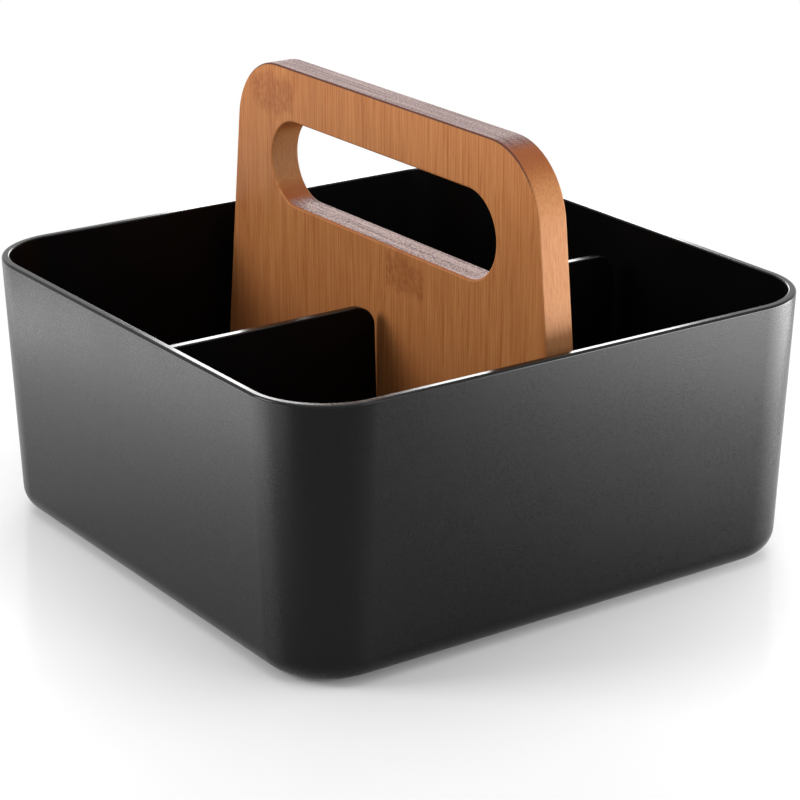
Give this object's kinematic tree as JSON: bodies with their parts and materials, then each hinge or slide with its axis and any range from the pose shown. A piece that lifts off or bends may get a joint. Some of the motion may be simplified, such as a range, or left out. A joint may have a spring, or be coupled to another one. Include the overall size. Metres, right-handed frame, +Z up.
{
  "type": "utensil caddy",
  "caption": "Open square tub for utensils, carried by an upright bamboo board with a hand hole; lift-out dividers split it into compartments.",
  "frame": {"origin": "on the table under the centre of the tub", "axes": "+Z up; the carrying board stands in the YZ plane and the dividers in the XZ plane"},
  "size_m": [0.225, 0.225, 0.1652],
  "materials": {
    "tub_plastic": "fine satin texture",
    "board_bamboo": "smooth oiled bamboo",
    "divider_plastic": "satin",
    "screw_steel": "zinc plated",
    "foot_rubber": "matt"
  },
  "bodies": {
    "caddy": {"tub": "tub_plastic", "handle_board": "board_bamboo", "board_screws": "screw_steel", "feet": "foot_rubber"},
    "left_divider": {"left_divider": "divider_plastic"},
    "right_divider": {"right_divider": "divider_plastic"}
  },
  "joints": [
    {"name": "left_divider_lift", "type": "slide", "parent": "caddy", "child": "left_divider", "axis": [0, 0, 1], "range_m": [0, 0.1]},
    {"name": "right_divider_lift", "type": "slide", "parent": "caddy", "child": "right_divider", "axis": [0, 0, 1], "range_m": [0, 0.1]}
  ]
}
